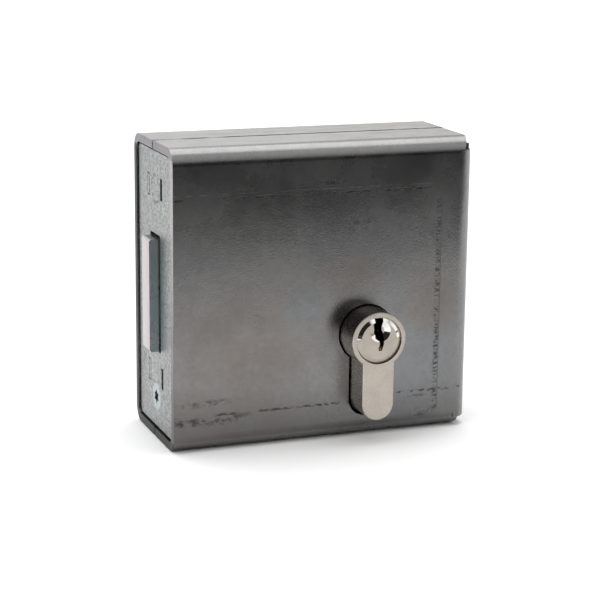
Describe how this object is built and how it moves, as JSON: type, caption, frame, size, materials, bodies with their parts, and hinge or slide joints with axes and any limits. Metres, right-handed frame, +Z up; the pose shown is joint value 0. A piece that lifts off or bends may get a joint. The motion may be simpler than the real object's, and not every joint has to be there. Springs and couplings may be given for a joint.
{
  "type": "weld-in gate lock case with profile cylinder",
  "caption": "Folded steel weld-in lock case with a faceplate, sliding deadbolt and a double profile key cylinder that drives it.",
  "frame": {"origin": "middle of the bounding box, on the surface the case stands on", "axes": "+X from the bolt end to the closed end, -Y the front that carries the cylinder seen in use, +Z up"},
  "size_m": [0.0974, 0.06, 0.09],
  "materials": {
    "case_steel": "bare hot-rolled sheet with mill scale, satin, die marks and smudges",
    "weld": "dull weld bead",
    "galvanised": "matt galvanised sheet, mottled",
    "turned_steel": "turned bare steel",
    "zinc_screw": "bright blue zinc plating",
    "spring_steel": "blued spring steel",
    "nickel": "satin nickel plating, fine vertical brushing",
    "plug_nickel": "polished nickel plating",
    "brass_pins": "turned brass",
    "cam_steel": "sintered steel",
    "bolt_steel": "zinc-nickel plated, smooth"
  },
  "bodies": {
    "case": {"front_shell": "case_steel", "back_shell": "case_steel", "seam_welds": "weld", "faceplate": "galvanised", "lock_tray": "galvanised", "lock_cover": "galvanised", "spacer_posts": "turned_steel", "cover_screws": "zinc_screw", "bolt_guide_pin": "turned_steel", "spring_post": "turned_steel", "detent_spring": "spring_steel", "cylinder_body": "nickel", "cylinder_screw": "zinc_screw", "driver_pins_front": "brass_pins", "driver_pins_back": "brass_pins", "pin_springs_front": "spring_steel", "pin_springs_back": "spring_steel", "chamber_plugs_front": "brass_pins", "chamber_plugs_back": "brass_pins"},
    "front_plug": {"plug_front": "plug_nickel", "circlip_front": "spring_steel", "key_pins_front": "brass_pins"},
    "back_plug": {"plug_back": "plug_nickel", "circlip_back": "spring_steel", "key_pins_back": "brass_pins"},
    "cam_ring": {"cam": "cam_steel", "cam_coupler": "cam_steel"},
    "bolt": {"bolt_head": "bolt_steel", "bolt_tail": "cam_steel", "bolt_rivets": "turned_steel"}
  },
  "joints": [
    {"name": "front_plug_turn", "type": "hinge", "parent": "case", "child": "front_plug", "pos_m": [0.01415, 0, 0.032], "axis": [0, -1, 0], "range_deg": [0, 360]},
    {"name": "cam_turn", "type": "hinge", "parent": "case", "child": "cam_ring", "pos_m": [0.01415, 0, 0.032], "axis": [0, -1, 0], "range_deg": [0, 360]},
    {"name": "bolt_throw", "type": "slide", "parent": "case", "child": "bolt", "axis": [-1, 0, 0], "range_m": [0, 0.02], "deforming": ["detent_spring"]},
    {"name": "back_plug_turn", "type": "hinge", "parent": "case", "child": "back_plug", "pos_m": [0.01415, 0, 0.032], "axis": [0, 1, 0], "range_deg": [0, 360]}
  ],
  "couplings": [
    {"joint": "front_plug_turn", "follows": "bolt_throw", "rad_per_m": 314.15},
    {"joint": "cam_turn", "follows": "bolt_throw", "rad_per_m": 314.15}
  ]
}
